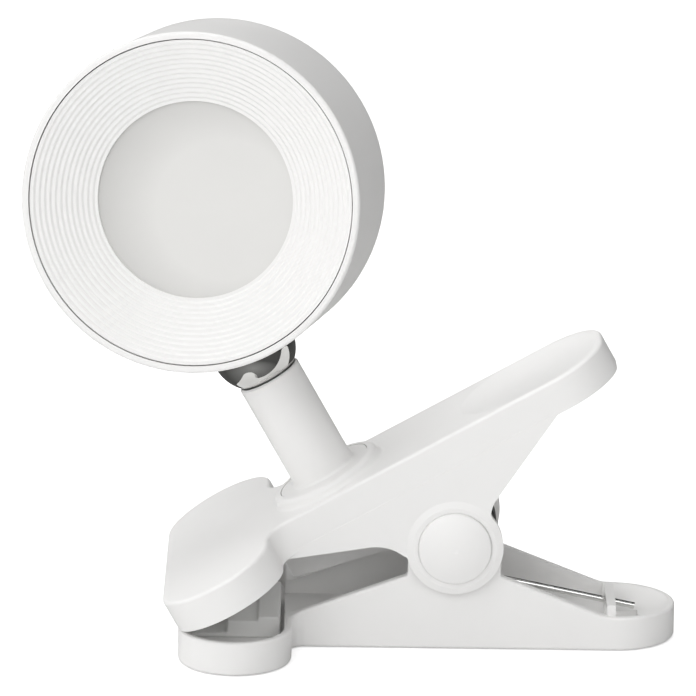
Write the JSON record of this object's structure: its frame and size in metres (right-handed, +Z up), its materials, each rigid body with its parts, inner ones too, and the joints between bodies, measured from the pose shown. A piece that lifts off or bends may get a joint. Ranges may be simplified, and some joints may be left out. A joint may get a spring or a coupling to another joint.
{
  "type": "clip-on reading lamp",
  "caption": "Battery reading lamp with a drum-shaped light head on a chromed ball, a short leaning post and a sprung clip with two wide padded jaws.",
  "frame": {"origin": "on the flat underside of the lower lever, straight below the pivot pin", "axes": "+X from the jaws to the handles, +Z up from the face it rests on, +Y away from the side the light faces"},
  "size_m": [0.1509, 0.0762, 0.144],
  "materials": {
    "shell": "fine satin",
    "lever": "fine satin",
    "pad": "matt",
    "spring_steel": "bright drawn wire",
    "spool": "satin",
    "pin": "turned",
    "chrome": "mirror",
    "steel": "zinc plated",
    "cup": "matt",
    "diffuser": "fine frosted",
    "reflector": "satin",
    "light_board": "solder mask",
    "led": "clear resin",
    "frame": "satin",
    "cell": "shrink sleeve",
    "control": "solder mask",
    "switch": "matt",
    "port": "plated",
    "lead": "insulated"
  },
  "bodies": {
    "base": {"lower_lever": "lever", "lower_grip_pad": "pad", "torsion_spring": "spring_steel", "spring_spool": "spool"},
    "upper": {"upper_lever": "lever", "upper_grip_pad": "pad", "pivot_pin": "pin", "pivot_cap_near": "lever", "pivot_cap_far": "lever", "post": "lever", "post_screws": "steel"},
    "ball": {"chrome_ball": "chrome", "ball_stud": "steel", "stud_nut": "steel"},
    "cup": {"socket_cup": "cup"},
    "head": {"head_shell": "shell", "baffle_ring": "shell", "diffuser": "diffuser", "reflector_ring": "reflector", "led_board": "light_board", "led_chips": "led", "mid_frame": "frame", "battery_cell": "cell", "control_board": "control", "tact_switch": "switch", "usb_socket": "port", "rear_cover": "shell", "cover_screws": "steel", "board_screws": "steel", "led_leads": "lead", "battery_leads": "lead"},
    "button": {"power_button": "shell"}
  },
  "joints": [
    {"name": "clamp_open", "type": "hinge", "parent": "base", "child": "upper", "pos_m": [0, 0, 0.025], "axis": [0, 1, 0], "range_deg": [0, 40], "stiffness_Nm_per_rad": 0.6, "springref_deg": -51.57, "deforming": ["torsion_spring"]},
    {"name": "head_pan", "type": "hinge", "parent": "upper", "child": "ball", "pos_m": [-0.0468, 0, 0.06748], "axis": [-0.4937, 0, 0.8697], "continuous": true},
    {"name": "head_tilt", "type": "hinge", "parent": "ball", "child": "cup", "pos_m": [-0.0468, 0, 0.06748], "axis": [-0.5347, 0.7887, -0.3035], "range_deg": [-45.88, 14.12]},
    {"name": "head_spin", "type": "hinge", "parent": "cup", "child": "head", "pos_m": [-0.0468, 0, 0.06748], "axis": [-0.2871, 0.1683, 0.943], "continuous": true},
    {"name": "button_press", "type": "slide", "parent": "head", "child": "button", "axis": [-0.1534, -0.9798, 0.1281], "range_m": [0, 0.0005], "stiffness_N_per_m": 2000, "springref_m": -0.0002}
  ]
}
